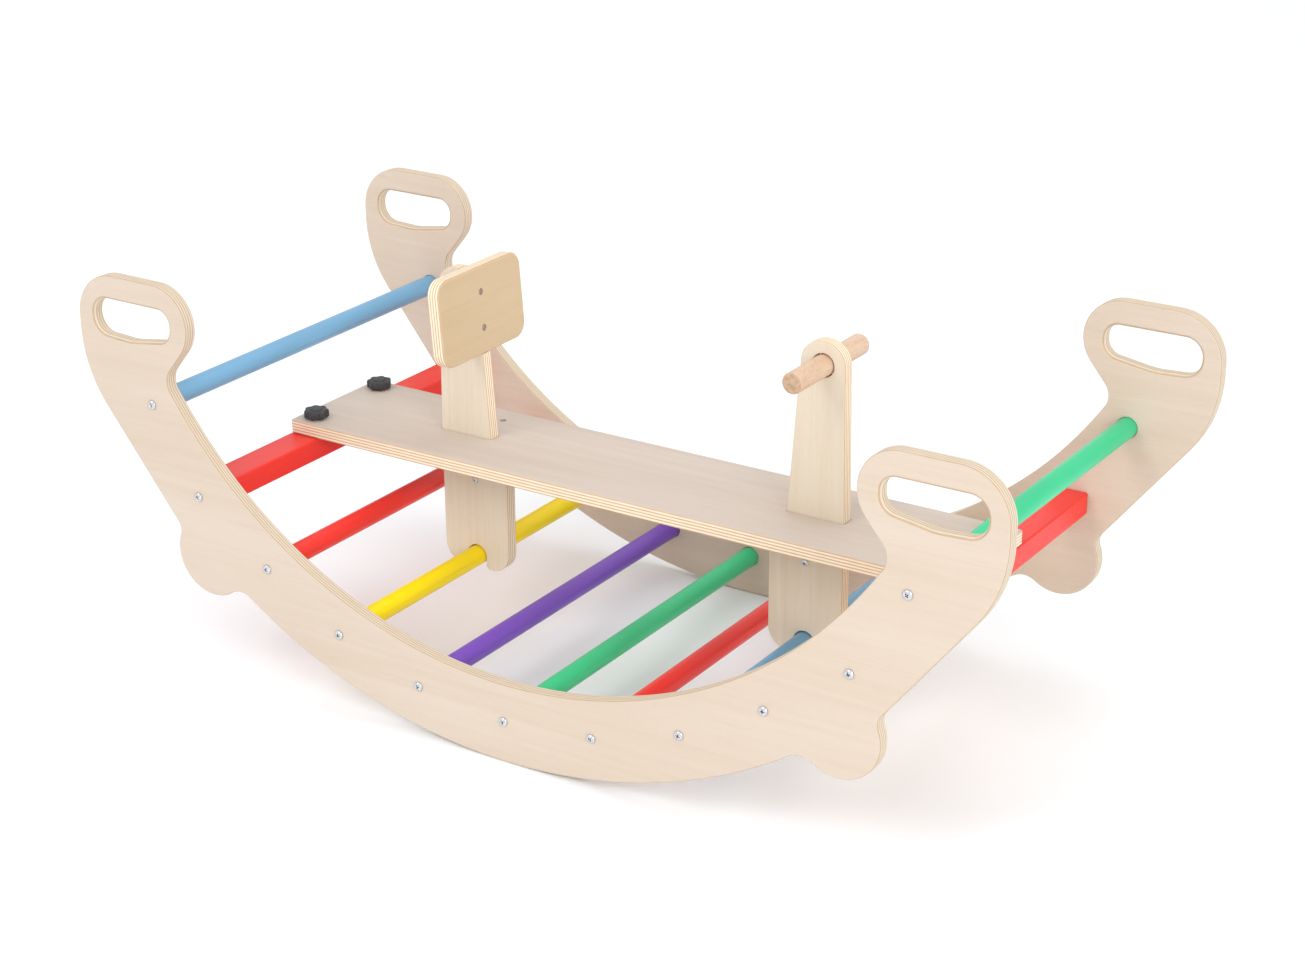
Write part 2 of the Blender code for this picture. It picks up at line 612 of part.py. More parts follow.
number = 0
for end in (-1, 1):
    for side in (-1, 1):
        number += 1
        spot = (end * KNOB_X, side * KNOB_Y, PLANK_TOP + GAP)
        knob = new_object("knob_%d" % number, knob_mesh(), "black_plastic")
        socket = [(0, -0.005), (STUD_R + 0.0001, -0.005), (STUD_R + 0.0001, 0.0052), (0, 0.0052)]
        cut(knob, lathe("socket", socket, 16, (0, 0, 0), (0, 0, 1)))
        knob.location = spot
        smooth(knob)
        soft = 0.0006
        rod = [(0, 0.0048), (STUD_R, 0.0048), (STUD_R, -STUD_LEN + soft), (STUD_R - soft, -STUD_LEN),
               (0, -STUD_LEN)]
        stud = lathe("stud_%d" % number, rod, 16, (0, 0, 0), (0, 0, 1), "zinc")
        stud.location = spot
        smooth(stud)
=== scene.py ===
"""Looks of the children's wooden rocker: birch plywood, painted rungs, beech, black knobs and zinc screws."""
import json
import math

import bmesh
import bpy
import numpy as np
from mathutils import Matrix, Vector
from mathutils.geometry import tessellate_polygon


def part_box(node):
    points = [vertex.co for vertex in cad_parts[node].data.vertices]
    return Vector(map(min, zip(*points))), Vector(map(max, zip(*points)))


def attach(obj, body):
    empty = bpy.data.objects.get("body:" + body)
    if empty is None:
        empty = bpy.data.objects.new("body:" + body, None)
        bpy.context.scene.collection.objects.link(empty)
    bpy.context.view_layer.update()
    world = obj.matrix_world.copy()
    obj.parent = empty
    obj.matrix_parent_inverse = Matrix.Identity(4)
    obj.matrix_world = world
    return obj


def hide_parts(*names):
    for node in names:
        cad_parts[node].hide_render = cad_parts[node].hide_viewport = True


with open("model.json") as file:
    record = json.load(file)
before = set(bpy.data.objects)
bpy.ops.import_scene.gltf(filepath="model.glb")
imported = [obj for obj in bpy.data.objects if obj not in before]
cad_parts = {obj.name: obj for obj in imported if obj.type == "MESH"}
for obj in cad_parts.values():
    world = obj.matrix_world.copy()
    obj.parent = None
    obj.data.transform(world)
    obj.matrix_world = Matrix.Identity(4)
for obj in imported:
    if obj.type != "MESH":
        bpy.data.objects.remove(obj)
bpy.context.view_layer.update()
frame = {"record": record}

RECORD = frame["record"]
SLOT_OF = {part["node"]: part["material_slot"] for part in RECORD["subparts"]}
BODY_OF = {node: body for body, nodes in RECORD["behaviour"]["bodies"].items() for node in nodes}

# ---------------------------------------------------------------- the design's own outline, in metres
ARC_Z = 0.4735
R_OUT = 0.4735
R_IN = 0.404
RUNG_Z, R_RUNG = 0.4575, 0.421
RUNG_STEP = math.radians(11.7)
SOCKET_R, SOCKET_DEPTH = 0.0094, 0.003
BUMP = (0.305, 0.110, 0.036)
SIDE = (0.3265, 0.2935, 0.109)
HEAD_OUT = (0.395, 0.3045, 0.0405)
HEAD_IN = (0.3495, 0.3105, 0.0345)
SLANT_FOOT = (0.3465, 0.1425)
SLANT = math.radians(51.8)
NECK_TURN = math.radians(-51.0)
NECK_R = 0.017
NOTCH_R = 0.018
CROOK_R = 0.012
FINGER_HOLE = ((0.3345, 0.3235, 0.012), (0.3345, 0.2975, 0.013), (0.378, 0.2905, 0.060),
               (0.4180, 0.2925, 0.015), (0.4180, 0.3235, 0.015))

# posts, backrest and knobs
POST_OUT, POST_IN, FOOT_IN, FOOT_Z, POST_TOP = 0.2015, 0.1485, 0.1325, 0.0595, 0.3365
TAPER_IN = math.tan(math.radians(4.5))
TAPER_OUT = math.tan(math.radians(1.0))
FOOT_R, NOTCH_HALF, NOTCH_LIP_R = 0.019, 0.010, 0.004
HANDLE_TOP_R = 0.0192
BACK_TOP_R = (0.017, 0.0022)
BOARD_Z, BOARD_TILT = 0.3013, math.radians(4.5)
BOARD_W, BOARD_H, BOARD_R = 0.118, 0.077, 0.014
KNOB_LOBES = 7
GAP = 0.0003

# boards, rods, holes and the seats of the screws
PLY_T, PLIES = 0.012, 9
RUNG_R = 0.009
HANDLE_BORE_R = 0.0100
STUD_HOLE_R = 0.0035
SLOT_HALF = 0.0063
PLANK_CORNER_R = 0.003
SINK_R = 0.0031
PLANK_SINK, BOARD_SINK = 0.0008, 0.0009
SCREW_OFF = 0.00005

# how far each kind of edge is rounded
PANEL_SOFT, FINGERS_SOFT = 0.0012, 0.0034
PLANK_SOFT, BOARD_SOFT = 0.0010, 0.0016
HANDLE_POST_SOFT, BACK_POST_SOFT = 0.0009, 0.0008
RUNG_SOFT, GRIP_SOFT = 0.0016, 0.0022
BAR_CORNER_R, BAR_END_SOFT = 0.0018, 0.0008
BLOCK_CORNER_R, BLOCK_SOFT = 0.0012, 0.0010

# display colours, 0 to 255: a light and a dark tone for each wood and metal, one for each paint
LONG_GRAIN = ((244, 231, 210), (236, 219, 195))
OPEN_GRAIN = ((213, 178, 138), (196, 158, 118))
PANEL_FACE = ((210, 194, 178), (202, 184, 165))
PLANK_FACE = ((206, 192, 180), (196, 180, 167))
POST_FACE = ((223, 211, 192), (213, 198, 176))
BOARD_FACE = ((208, 183, 149), (198, 172, 136))
# this factor draws the panels' ply edges darker as painted shade, for upturned edges that get little light
PANEL_EDGE_PAINTED_SHADE, PANEL_EDGE_CONTRAST = 0.89, 0.8
GRIP_BEECH = ((219, 189, 163), (207, 174, 145), (200, 166, 137))
BLOCK_BEECH = ((224, 192, 160), (208, 170, 134), (200, 160, 124))
BRIGHT_PLATE = ((222, 224, 228), (192, 195, 200))
# the flat-head screws' plating is drawn darker as painted shade, for sunk heads that sit in shadow
PAINTED_SHADE_PLATE = ((172, 164, 154), (146, 138, 128))
BLACK = ((45, 45, 47), (57, 57, 60))
BRASS_TONES = ((212, 180, 108), (186, 150, 84))
SKY, RED, YELLOW = (118, 170, 206), (240, 53, 45), (255, 225, 0)
PURPLE, GREEN, MINT = (122, 79, 188), (62, 202, 137), (52, 199, 140)


# ---------------------------------------------------------------- outlines
def arc(centre, radius, start, end, step=math.radians(4)):
    count = max(2, math.ceil(abs(end - start) / step))
    return [(centre[0] + radius * math.cos(start + (end - start) * i / count),
             centre[1] + radius * math.sin(start + (end - start) * i / count)) for i in range(count + 1)]


def heading(spot, centre):
    """Angle of spot as seen from centre."""
    return math.atan2(spot[1] - centre[1], spot[0] - centre[0])


def short_arc(centre, radius, first, last, step=math.radians(5)):
    """The shorter way about centre, from the direction of first to that of last."""
    start = heading(first, centre)
    sweep = (heading(last, centre) - start + math.pi) % (2 * math.pi) - math.pi
    return arc(centre, radius, start, start + sweep, step)


def rounded(corners, step=math.radians(6)):
    """A closed polygon whose (x, y, radius) corners are filleted."""
    points = []
    for i, (x, y, radius) in enumerate(corners):
        here = Vector((x, y))
        back = (Vector(corners[i - 1][:2]) - here).normalized()
        on = (Vector(corners[(i + 1) % len(corners)][:2]) - here).normalized()
        if radius == 0:
            points.append((x, y))
            continue
        half = back.angle(on) / 2
        centre = here + (back + on).normalized() * (radius / math.sin(half))
        reach = radius / math.tan(half)
        points += short_arc(centre, radius, here + back * reach, here + on * reach, step)
    return points


def circles_meet(a, ra, b, rb, side):
    """The point ra from a and rb from b, to the left (+1) or right (-1) of the line from a to b."""
    way = Vector(b) - Vector(a)
    length = way.length
    along = (length ** 2 + ra ** 2 - rb ** 2) / (2 * length)
    off = math.sqrt(ra ** 2 - along ** 2)
    way.normalize()
    return Vector(a) + way * along + Vector((-way.y, way.x)) * (side * off)


def signed_area(points):
    return sum(a[0] * b[1] - b[0] * a[1] for a, b in zip(points, points[1:] + points[:1])) / 2


def clean(points, least=0.00005):
    """Drop points that fall on the one before."""
    kept = []
    for p in points:
        if not kept or math.dist(p, kept[-1]) > least:
            kept.append(p)
    if math.dist(kept[0], kept[-1]) <= least:
        kept.pop()
    return kept


def oblong(left, right, low, high, radius, step=math.radians(15)):
    """A rectangle with rounded corners."""
    corners = ((left, low), (right, low), (right, high), (left, high))
    return clean(rounded([(x, y, radius) for x, y in corners], step))


def panel_outline():
    """A side panel, both ends alike: rocker arc, stop bump, straight edge, carrying head, neck, inner arc."""
    middle = Vector((0.0, ARC_Z))
    bump, bump_r = Vector(BUMP[:2]), BUMP[2]
    notch = circles_meet(middle, R_OUT + NOTCH_R, bump, bump_r + NOTCH_R, -1)
    half = arc(middle, R_OUT, -math.pi / 2, heading(notch, middle), math.radians(1))
    half += short_arc(notch, NOTCH_R, middle, bump)
    along = Vector((math.cos(SLANT), math.sin(SLANT)))
    out = Vector((along.y, -along.x))
    base = Vector(SLANT_FOOT) + out * CROOK_R - bump
    reach = bump_r + CROOK_R
    slide = -base.dot(along) + math.sqrt(base.dot(along) ** 2 - base.length_squared + reach ** 2)
    crook = bump + base + along * slide
    half += arc(bump, bump_r, heading(notch, bump), heading(crook, bump))
    half += short_arc(crook, CROOK_R, bump, crook - out)
    half += arc(SIDE[:2], SIDE[2], SLANT - math.pi / 2, 0.0, math.radians(2))
    half += arc(HEAD_OUT[:2], HEAD_OUT[2], 0.0, math.pi / 2)
    half += arc(HEAD_IN[:2], HEAD_IN[2], math.pi / 2, math.pi * 3 / 2 + NECK_TURN)
    leave = Vector(half[-1])
    down = Vector((math.cos(NECK_TURN), math.sin(NECK_TURN)))
    slope = (leave - middle).dot(down)
    corner = leave + down * (-slope + math.sqrt(slope ** 2 - (leave - middle).length_squared + R_IN ** 2))
    neck_angle = heading(corner, middle)
    tangent = Vector((math.sin(neck_angle), -math.cos(neck_angle)))
    bend = (-down).angle(tangent) / 2
    trim = NECK_R / math.tan(bend)
    centre = corner + (tangent - down).normalized() * (NECK_R / math.sin(bend))
    last = corner + tangent * trim
    half += short_arc(centre, NECK_R, corner - down * trim, last)
    half += arc(middle, R_IN, heading(last, middle), -math.pi / 2, math.radians(1))
    half = clean(half)
    return clean(half + [(-x, z) for x, z in reversed(half)])


def rung_spot(index):
    """The (x, z) of a rung, counted from the middle one."""
    angle = RUNG_STEP * index
    return (R_RUNG * math.sin(angle), RUNG_Z - R_RUNG * math.cos(angle))


# ---------------------------------------------------------------- mesh building
def make_object(name, points, faces, normals=None):
    mesh = bpy.data.meshes.new(name)
    mesh.from_pydata(points, [], faces)
    mesh.update()
    for face in mesh.polygons:
        face.use_smooth = True
    if normals is not None:
        mesh.normals_split_custom_set_from_vertices(normals)
    obj = bpy.data.objects.new(name, mesh)
    bpy.context.scene.collection.objects.link(obj)
    return obj


def edge_ways(points):
    """For each point of a closed outline: its outward normal, and its move for a unit of inset."""
    p = np.array(points)
    back, on = p - np.roll(p, 1, 0), np.roll(p, -1, 0) - p
    back_n, on_n = np.c_[back[:, 1], -back[:, 0]], np.c_[on[:, 1], -on[:, 0]]
    normal = back_n + on_n
    normal /= np.linalg.norm(normal, axis=1)[:, None]
    unit = back_n / np.linalg.norm(back_n, axis=1)[:, None]
    mitre = unit + on_n / np.linalg.norm(on_n, axis=1)[:, None]
    mitre /= np.linalg.norm(mitre, axis=1)[:, None]
    mitre /= np.maximum((mitre * unit).sum(1), 0.4)[:, None]
    return normal, mitre


# for the axis across a board: the two axes in its plane, then that axis
PLANES = {"x": (1, 2, 0), "y": (0, 2, 1), "z": (0, 1, 2)}


def slab(name, outline, holes, low, high, soft, along, sockets=(), steps=5, hole_soft=None):
    """A board with rounded edges: outline and holes lie across the axis along, low and high are its faces.

    Each socket is (u, v, radius, depth, face), face -1 at low or +1 at high.
    hole_soft is the rounding of the holes' edges, the same as the outline's unless given.
    """
    u, v, w = PLANES[along]
    loops = [outline if signed_area(outline) > 0 else outline[::-1]]
    loops += [hole if signed_area(hole) < 0 else hole[::-1] for hole in holes]
    points, normals, faces = [], [], []

    def put(place, depth, normal, lean):
        point, way = [0.0] * 3, [0.0] * 3
        point[u], point[v], point[w] = float(place[0]), float(place[1]), depth
        way[u], way[v], way[w] = float(normal[0]), float(normal[1]), lean
        points.append(point)
        normals.append(way)
        return len(points) - 1

    def side(face):
        """Quads and triangles are turned so that they face the way their points' normals say."""
        corners = [Vector(points[i]) for i in face]
        flat = (corners[1] - corners[0]).cross(corners[2] - corners[0])
        if len(face) > 3:
            flat += (corners[2] - corners[0]).cross(corners[3] - corners[0])
        mean = sum((Vector(normals[i]) for i in face), Vector())
        faces.append(face if flat.dot(mean) > 0 else face[::-1])

    turns = [math.pi / 2 * k / steps for k in range(steps + 1)]
    rims = {-1: [], 1: []}
    for number, loop in enumerate(loops):
        round_off = hole_soft if number and hole_soft else soft
        normal, mitre = edge_ways(loop)
        flat = np.array(loop)
        rings = []
        # rows of points from the low face's rim, over its rounding, up the wall to the high face's rim
        for face, order in ((-1, turns), (1, turns[::-1])):
            for turn in order:
                inset = round_off * (1 - math.sin(turn))
                drop = round_off * (1 - math.cos(turn))
                depth = low + drop if face < 0 else high - drop
                place = flat - mitre * inset
                rings.append([put(place[i], depth, normal[i] * math.sin(turn), face * math.cos(turn))
                              for i in range(len(loop))])
        rims[-1].append(rings[0])
        rims[1].append(rings[-1])
        for first, second in zip(rings, rings[1:]):
            for i in range(len(loop)):
                j = (i + 1) % len(loop)
                side((first[i], first[j], second[j], second[i]))
    for su, sv, radius, deep, face in sockets:
        depth = low if face < 0 else high
        floor = depth - face * deep
        ring = arc((su, sv), radius, 0.0, 2 * math.pi, math.radians(9))[:-1]
        rims[face].append([put(p, depth, (0, 0), face) for p in ring])
        inward = [((su - p[0]) / radius, (sv - p[1]) / radius) for p in ring]
        top = [put(p, depth, n, 0.0) for p, n in zip(ring, inward)]
        foot = [put(p, floor, n, 0.0) for p, n in zip(ring, inward)]
        for i in range(len(ring)):
            j = (i + 1) % len(ring)
            side((top[i], top[j], foot[j], foot[i]))
        side(tuple(put(p, floor, (0, 0), face) for p in ring))
    for face, found in rims.items():
        order = [i for rim in found for i in rim]
        flat = [[Vector((points[i][u], points[i][v], 0)) for i in rim] for rim in found]
        for triangle in tessellate_polygon(flat):
            side(tuple(order[i] for i in triangle))
    return make_object(name, points, faces, normals)


def turned(name, profile, count=48, sharp=32):
    """A solid of revolution about its own Z, through (radius, height) points."""
    bm = bmesh.new()
    rows = []
    for radius, height in profile:
        if radius == 0:
            rows.append([bm.verts.new((0, 0, height))])
        else:
            rows.append([bm.verts.new((radius * math.cos(2 * math.pi * i / count),
                                       radius * math.sin(2 * math.pi * i / count), height))
                         for i in range(count)])
    for a, b in zip(rows, rows[1:]):
        for i in range(count):
            j = (i + 1) % count
            ring = []
            for corner in (a[i % len(a)], a[j % len(a)], b[j % len(b)], b[i % len(b)]):
                if corner not in ring:
                    ring.append(corner)
            if len(ring) > 2:
                bm.faces.new(ring)
    return finish_mesh(name, bm, sharp)


def finish_mesh(name, bm, sharp=32):
    """An object from the working mesh, smooth except at edges bent by more than sharp degrees."""
    bmesh.ops.recalc_face_normals(bm, faces=bm.faces)
    mesh = bpy.data.meshes.new(name)
    bm.to_mesh(mesh)
    bm.free()
    for face in mesh.polygons:
        face.use_smooth = True
    mesh.set_sharp_from_angle(angle=math.radians(sharp))
    obj = bpy.data.objects.new(name, mesh)
    bpy.context.scene.collection.objects.link(obj)
    return obj


def soft_end(radius, end, soft, steps=5):
    """Profile points of a rod's rounded end, from the rod's side to the middle of its end face."""
    sign = 1 if end > 0 else -1
    points = []
    for k in range(steps + 1):
        turn = math.pi / 2 * k / steps
        points.append((radius - soft * (1 - math.cos(turn)), end - sign * soft * (1 - math.sin(turn))))
    return points + [(0, end)]


def rod(name, radius, low, high, soft, count=48):
    """A rod along its own Z with rounded ends, low below 0 and high above it."""
    return turned(name, soft_end(radius, low, soft)[::-1] + soft_end(radius, high, soft), count)


def subtract(obj, cutter, sharp=32):
    """Cut the cutter out of the object for good, and drop the cutter."""
    tool = obj.modifiers.new("cut", "BOOLEAN")
    tool.operation = "DIFFERENCE"
    tool.solver = "EXACT"
    tool.object = cutter
    depsgraph = bpy.context.evaluated_depsgraph_get()
    shaped = bpy.data.meshes.new_from_object(obj.evaluated_get(depsgraph))
    obj.modifiers.clear()
    obj.data = shaped
    bpy.data.objects.remove(cutter, do_unlink=True)
    for face in shaped.polygons:
        face.use_smooth = True
    shaped.set_sharp_from_angle(angle=math.radians(sharp))
    return obj


def stand_for(piece, node, material):
    """The piece takes the node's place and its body."""
    piece.data.materials.clear()
    piece.data.materials.append(material)
    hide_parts(node)
    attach(piece, BODY_OF[node])
    return piece


def middle_of(node):
    low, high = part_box(node)
    return (low + high) / 2


# ---------------------------------------------------------------- materials
class Surface:
    """A Principled material and short ways to wire its nodes."""

    def __init__(self, name, roughness=0.5, **settings):
        self.material = bpy.data.materials.new(name)
        self.material.use_nodes = True
        self.tree = self.material.node_tree
        self.shader = self.tree.nodes["Principled BSDF"]
        self.shader.inputs["Roughness"].default_value = roughness
        for key, value in settings.items():
            self.shader.inputs[key.replace("_", " ")].default_value = value
        coordinates = self.tree.nodes.new("ShaderNodeTexCoord")
        self.place = coordinates.outputs["Object"]
        split = self.tree.nodes.new("ShaderNodeSeparateXYZ")
        self.tree.links.new(self.place, split.inputs[0])
        self.axis = {"x": split.outputs[0], "y": split.outputs[1], "z": split.outputs[2]}

    def feed(self, socket, value):
        if isinstance(value, bpy.types.NodeSocket):
            self.tree.links.new(value, socket)
        else:
            socket.default_value = value

    def math(self, operation, a, b=0.0):
        node = self.tree.nodes.new("ShaderNodeMath")
        node.operation = operation
        self.feed(node.inputs[0], a)
        self.feed(node.inputs[1], b)
        return node.outputs[0]

    def stretched(self, scale, shift=(0, 0, 0)):
        node = self.tree.nodes.new("ShaderNodeMapping")
        self.tree.links.new(self.place, node.inputs["Vector"])
        node.inputs["Scale"].default_value = scale
        node.inputs["Location"].default_value = shift
        return node.outputs[0]

    def noise(self, vector, detail=3.0, rough=0.55, distortion=0.0):
        node = self.tree.nodes.new("ShaderNodeTexNoise")
        self.tree.links.new(vector, node.inputs["Vector"])
        node.inputs["Scale"].default_value = 1.0
        node.inputs["Detail"].default_value = detail
        node.inputs["Roughness"].default_value = rough
        node.inputs["Distortion"].default_value = distortion
        return node.outputs["Fac"]

    def step(self, value, low, high, to_low=0.0, to_high=1.0):
        node = self.tree.nodes.new("ShaderNodeMapRange")
        node.interpolation_type = "SMOOTHSTEP"
        self.feed(node.inputs["Value"], value)
        node.inputs["From Min"].default_value = low
        node.inputs["From Max"].default_value = high
        node.inputs["To Min"].default_value = to_low
        node.inputs["To Max"].default_value = to_high
        return node.outputs["Result"]

    def mix(self, factor, a, b):
        node = self.tree.nodes.new("ShaderNodeMix")
        node.data_type = "RGBA"
        self.feed(node.inputs[0], factor)
        self.feed(node.inputs[6], a)
        self.feed(node.inputs[7], b)
        return node.outputs[2]

    def colour(self, value):
        self.feed(self.shader.inputs["Base Color"], value)

    def rough(self, value):
        self.feed(self.shader.inputs["Roughness"], value)

    def bump(self, height, distance, strength=1.0):
        node = self.tree.nodes.new("ShaderNodeBump")
        node.inputs["Distance"].default_value = distance
        node.inputs["Strength"].default_value = strength
        self.feed(node.inputs["Height"], height)
        self.tree.links.new(node.outputs[0], self.shader.inputs["Normal"])


def rgb(red, green, blue):
    """Display colour, 0 to 255, as linear values."""
    def linear(value):
        value /= 255
        return value / 12.92 if value <= 0.04045 else ((value + 0.055) / 1.055) ** 2.4
    return (linear(red), linear(green), linear(blue), 1.0)


def shaded(colour, factor):
    """A display colour made darker."""
    return rgb(*[channel * factor for channel in colour])


def plywood(name, thick, low, high, grain, shift, tones, painted_edge_shade=1.0, contrast=1.0):
    """Birch plywood: fine-grained face veneers, and ply lines wherever the surface cuts below the veneer.

    thick is the axis across the board, low and high its faces, grain the axis of the face veneer's fibres.
    shift moves the pattern so that no two boards look alike, and tones are the face veneer's light and dark.
    The edge shade factor darkens the ply edges as painted shade, for edges that get less light than the
    faces, and contrast sets how strongly their lines show.
    """
    light, dark = tones
    s = Surface(name, Specular_IOR_Level=0.35)
    across = [a for a in "xyz" if a not in (thick, grain)][0]

    def scaled(on_grain, on_across, on_thick):
        values = {grain: on_grain, across: on_across, thick: on_thick}
        return tuple(values[a] for a in "xyz")

    # face veneer: cloudy growth bands, fibre streaks and short fine pores, all drawn out along the grain
    cloud = s.noise(s.stretched(scaled(3.2, 16, 16), shift), detail=4, rough=0.5, distortion=0.6)
    bands = s.noise(s.stretched(scaled(1.6, 70, 20), shift), detail=5, rough=0.6, distortion=1.2)
    fibres = s.noise(s.stretched(scaled(26, 950, 950), shift), detail=3, rough=0.65)
    pores = s.noise(s.stretched(scaled(120, 2100, 2100), shift), detail=1, rough=0.5)
    tone = s.math("ADD", s.math("MULTIPLY", cloud, 0.45), s.math("MULTIPLY", bands, 0.55))
    face = s.mix(s.step(tone, 0.30, 0.74), rgb(*light), rgb(*dark))
    face = s.mix(s.step(fibres, 0.50, 0.80, 0.0, 0.26), face, shaded(dark, 0.90))
    face = s.mix(s.step(pores, 0.64, 0.80, 0.0, 0.26), face, shaded(dark, 0.80))

    # edge: plies alternate between dark, open end grain, which is outermost at both faces, and long grain
    thickness = high - low
    depth = s.math("SUBTRACT", s.axis[thick], low)
    waver = s.noise(s.stretched((9, 9, 9), shift), detail=2)
    depth_in = s.math("ADD", depth, s.math("MULTIPLY", s.math("SUBTRACT", waver, 0.5), 0.0007))
    ply = s.math("MULTIPLY", depth_in, PLIES / thickness)
    end_grain = s.step(s.math("PINGPONG", s.math("ADD", ply, 0.5), 1.0), 0.56, 0.70)
    streak = s.noise(s.stretched(scaled(90, 90, 2200), shift), detail=3, rough=0.6)
    # the edge tones are multiplied by the edge shade factor, which is painted shade wherever it is below one
    long_grain = s.mix(s.step(streak, 0.35, 0.7), *[shaded(tone, painted_edge_shade) for tone in LONG_GRAIN])
    open_grain = s.mix(s.step(streak, 0.3, 0.7), *[shaded(tone, painted_edge_shade) for tone in OPEN_GRAIN])
    edge = s.mix(s.math("MULTIPLY", end_grain, contrast), long_grain, open_grain)

    # only the outermost quarter of a millimetre is drawn as face veneer
    nearest = s.math("MINIMUM", depth, s.math("SUBTRACT", high, s.axis[thick]))
    on_edge = s.step(nearest, 0.00012, 0.00035)
    s.colour(s.mix(on_edge, face, edge))

    s.rough(s.step(s.math("ADD", s.math("MULTIPLY", fibres, 0.6), s.math("MULTIPLY", cloud, 0.4)),
                   0.3, 0.75, 0.46, 0.62))
    height = s.math("ADD", s.math("MULTIPLY", fibres, 0.7), s.math("MULTIPLY", pores, -0.3))
    edge_height = s.math("ADD", s.math("MULTIPLY", streak, 0.8), s.math("MULTIPLY", end_grain, -0.6))
    blend = s.math("ADD", s.math("MULTIPLY", height, s.math("SUBTRACT", 1.0, on_edge)),
                   s.math("MULTIPLY", edge_height, on_edge))
    s.bump(blend, 0.00009, 0.7)
    return s.material


def solid_wood(name, tones, half_length):
    """Beech turned or sawn along its own Z: short dark ray flecks and a slightly darker end grain."""
    light, dark, ends = tones
    s = Surface(name, Specular_IOR_Level=0.35)
    bands = s.noise(s.stretched((60, 60, 5)), detail=4, rough=0.6, distortion=0.8)
    fibres = s.noise(s.stretched((900, 900, 30)), detail=3, rough=0.6)
    flecks = s.noise(s.stretched((1100, 1100, 260)), detail=1, rough=0.4)
    body = s.mix(s.step(bands, 0.36, 0.66), rgb(*light), rgb(*dark))
    body = s.mix(s.step(fibres, 0.5, 0.8, 0.0, 0.35), body, shaded(dark, 0.86))
    body = s.mix(s.step(flecks, 0.62, 0.74, 0.0, 0.55), body, shaded(dark, 0.74))
    rings = s.noise(s.stretched((240, 240, 20)), detail=4, rough=0.7)
    end = s.mix(s.step(rings, 0.35, 0.65), rgb(*ends), shaded(ends, 0.86))
    at_end = s.step(s.math("ABSOLUTE", s.axis["z"]), half_length - 0.0012, half_length - 0.0004)
    s.colour(s.mix(at_end, body, end))
    s.rough(s.step(fibres, 0.3, 0.8, 0.42, 0.6))
    s.bump(s.math("ADD", fibres, s.math("MULTIPLY", flecks, -0.5)), 0.00008, 0.7)
    return s.material


def paint(name, colour):
    """Satin paint over wood, with the fibres just showing through and a slightly uneven film."""
    s = Surface(name, Specular_IOR_Level=0.34, Coat_Weight=0.04, Coat_Roughness=0.25)
    roughness = 0.36
    film = s.noise(s.stretched((30, 30, 9)), detail=3, rough=0.5)
    fibres = s.noise(s.stretched((520, 520, 16)), detail=4, rough=0.6)
    grit = s.noise(s.stretched((1500, 1500, 1500)), detail=2, rough=0.5)
    tone = s.mix(s.step(film, 0.3, 0.7), rgb(*colour), shaded(colour, 0.955))
    tone = s.mix(s.step(fibres, 0.5, 0.85, 0.0, 0.30), tone, shaded(colour, 0.88))
    s.colour(tone)
    s.rough(s.step(s.math("ADD", s.math("MULTIPLY", film, 0.5), s.math("MULTIPLY", grit, 0.5)),
                   0.3, 0.7, roughness - 0.05, roughness + 0.09))
    s.bump(s.math("ADD", fibres, s.math("MULTIPLY", grit, 0.25)), 0.00010, 0.6)
    return s.material


def zinc(name, tones, roughness):
    """Zinc plating with a fine spangle."""
    light, dark = tones
    s = Surface(name, Metallic=1.0)
    spangle = s.noise(s.stretched((900, 900, 900)), detail=3)
    fine = s.noise(s.stretched((3500, 3500, 3500)), detail=2)
    s.colour(s.mix(s.step(spangle, 0.35, 0.65), rgb(*light), rgb(*dark)))
    s.rough(s.step(fine, 0.3, 0.7, roughness - 0.08, roughness + 0.08))
    s.bump(fine, 0.00003, 0.5)
    return s.material


def black_plastic():
    s = Surface("black_moulded_plastic", Specular_IOR_Level=0.5)
    grain = s.noise(s.stretched((2600, 2600, 2600)), detail=2, rough=0.6)
    cloud = s.noise(s.stretched((260, 260, 260)), detail=2)
    s.colour(s.mix(s.step(cloud, 0.35, 0.7), rgb(*BLACK[0]), rgb(*BLACK[1])))
    s.rough(s.step(grain, 0.3, 0.7, 0.38, 0.56))
    s.bump(grain, 0.00006, 0.8)
    return s.material


def brass():
    s = Surface("brass_insert", Metallic=1.0)
    marks = s.noise(s.stretched((200, 200, 1800)), detail=3)
    s.colour(s.mix(s.step(marks, 0.35, 0.65), rgb(*BRASS_TONES[0]), rgb(*BRASS_TONES[1])))
    s.rough(s.step(marks, 0.3, 0.7, 0.28, 0.44))
    return s.material


# ---------------------------------------------------------------- side panels
OUTLINE = panel_outline()
RUNG_NODES = sorted(node for node in BODY_OF if node.startswith("rung_"))
FINGERS = [clean([(end * x, z) for x, z in rounded(FINGER_HOLE, math.radians(4))]) for end in (-1, 1)]
for hand, side in (("left", 1), ("right", -1)):
    node = "side_panel_" + hand
    low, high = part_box(node)
    spots = [middle_of(rung) for rung in RUNG_NODES]
    sockets = [(spot.x, spot.z, SOCKET_R, SOCKET_DEPTH, -side) for spot in spots]
    panel = slab("panel_" + hand, OUTLINE, FINGERS, low.y, high.y, PANEL_SOFT, "y", sockets,
                 hole_soft=FINGERS_SOFT)
    ply = plywood("panel_plywood_" + hand, "y", low.y, high.y, "x", (3.1 * side, 0, 1.7 * side),
                  PANEL_FACE, PANEL_EDGE_PAINTED_SHADE, PANEL_EDGE_CONTRAST)
    stand_for(panel, node, ply)

